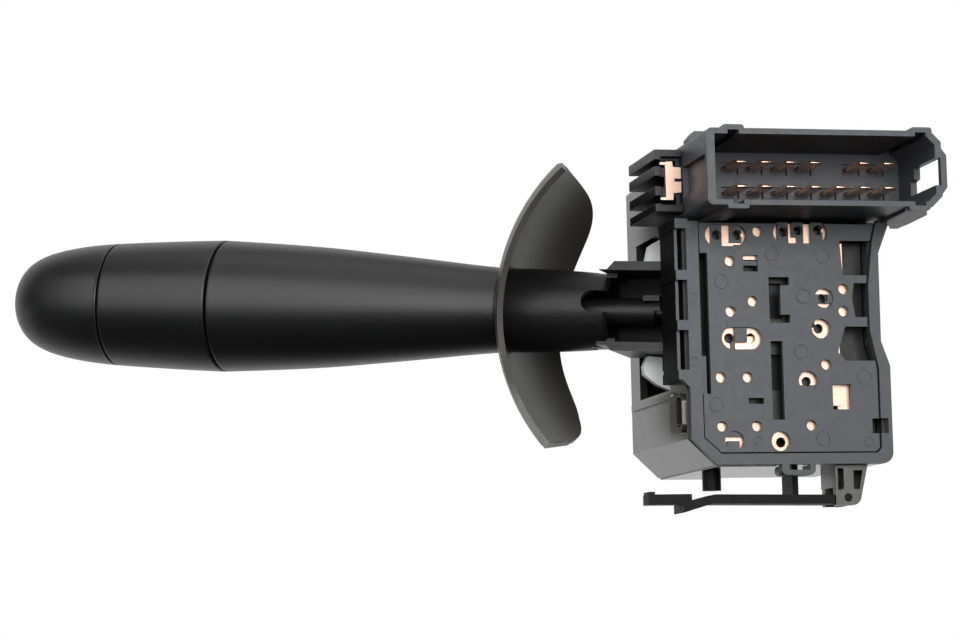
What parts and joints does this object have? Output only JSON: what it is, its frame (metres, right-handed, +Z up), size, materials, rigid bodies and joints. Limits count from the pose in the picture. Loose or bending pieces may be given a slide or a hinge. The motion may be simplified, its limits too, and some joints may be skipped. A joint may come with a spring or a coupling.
{
  "type": "combination stalk switch",
  "caption": "Steering column stalk switch: tapered lever with a curved shield, rotary ring and end knob, gimballed in a terminal housing with a blade connector.",
  "frame": {"origin": "centre of the housing's flat back face, which sits on the steering column bracket", "axes": "+X runs right along the terminal face, away from the lever; +Y points out of the back face; +Z is up"},
  "size_m": [0.1726, 0.1124, 0.0748],
  "materials": {
    "black_nylon": "moulded black nylon, faint scuffs",
    "plate_plastic": "dark grey moulded thermoset, fine texture",
    "satin_black": "soft satin black grip",
    "shield_plastic": "satin black shell with a warm sheen inside",
    "white_nylon": "unfilled white nylon",
    "copper": "stamped copper alloy",
    "steel": "plain steel"
  },
  "bodies": {
    "housing": {"main_housing": "black_nylon", "front_frame": "black_nylon", "terminal_plate": "plate_plastic", "track_upper_left": "copper", "track_right": "copper", "track_centre": "copper", "track_lower": "copper", "track_corner": "copper", "bearing_plate": "black_nylon", "connector_shroud": "plate_plastic", "upper_pins": "copper", "lower_pins": "copper", "side_comb": "black_nylon", "side_contact": "copper", "latch_pin": "black_nylon", "detent_track": "white_nylon"},
    "gimbal": {"gimbal_block": "black_nylon", "fork_pins": "steel", "nylon_cam": "white_nylon", "detent_spring": "steel"},
    "lever": {"lever_core": "black_nylon", "stalk_sleeve": "satin_black", "shield": "shield_plastic"},
    "ring": {"rotary_ring": "satin_black"},
    "knob": {"end_knob": "satin_black"},
    "latch": {"latch_arm": "black_nylon"},
    "slider": {"contact_slider": "black_nylon", "slider_bridges": "copper"},
    "plunger": {"detent_plunger": "white_nylon"}
  },
  "joints": [
    {"name": "stalk_swing", "type": "hinge", "parent": "housing", "child": "gimbal", "pos_m": [-0.0104, -0.0235, 0.0016], "axis": [0, 1, 0], "range_deg": [-10, 10]},
    {"name": "stalk_pull", "type": "hinge", "parent": "gimbal", "child": "lever", "pos_m": [-0.0104, -0.0235, 0.0016], "axis": [-0.0601, 0.0319, -0.9977], "range_deg": [0, 6], "stiffness_Nm_per_rad": 1.2},
    {"name": "ring_turn", "type": "hinge", "parent": "lever", "child": "ring", "pos_m": [-0.0104, -0.0235, 0.0016], "axis": [-0.8809, 0.4684, 0.068], "range_deg": [-30, 30]},
    {"name": "knob_turn", "type": "hinge", "parent": "lever", "child": "knob", "pos_m": [-0.0104, -0.0235, 0.0016], "axis": [-0.8809, 0.4684, 0.068], "range_deg": [-30, 30]},
    {"name": "latch_lift", "type": "hinge", "parent": "housing", "child": "latch", "pos_m": [0.0127, -0.037, -0.0365], "axis": [0, 1, 0], "range_deg": [0, 3], "stiffness_Nm_per_rad": 0.6},
    {"name": "slider_shift", "type": "slide", "parent": "housing", "child": "slider", "axis": [1, 0, 0], "range_m": [-0.0021, 0.0021]},
    {"name": "plunger_press", "type": "slide", "parent": "gimbal", "child": "plunger", "axis": [1, 0, 0], "range_m": [-0.001, 0], "stiffness_N_per_m": 900, "deforming": ["detent_spring"]}
  ],
  "couplings": [
    {"joint": "slider_shift", "follows": "stalk_swing", "m_per_rad": 0.012}
  ]
}
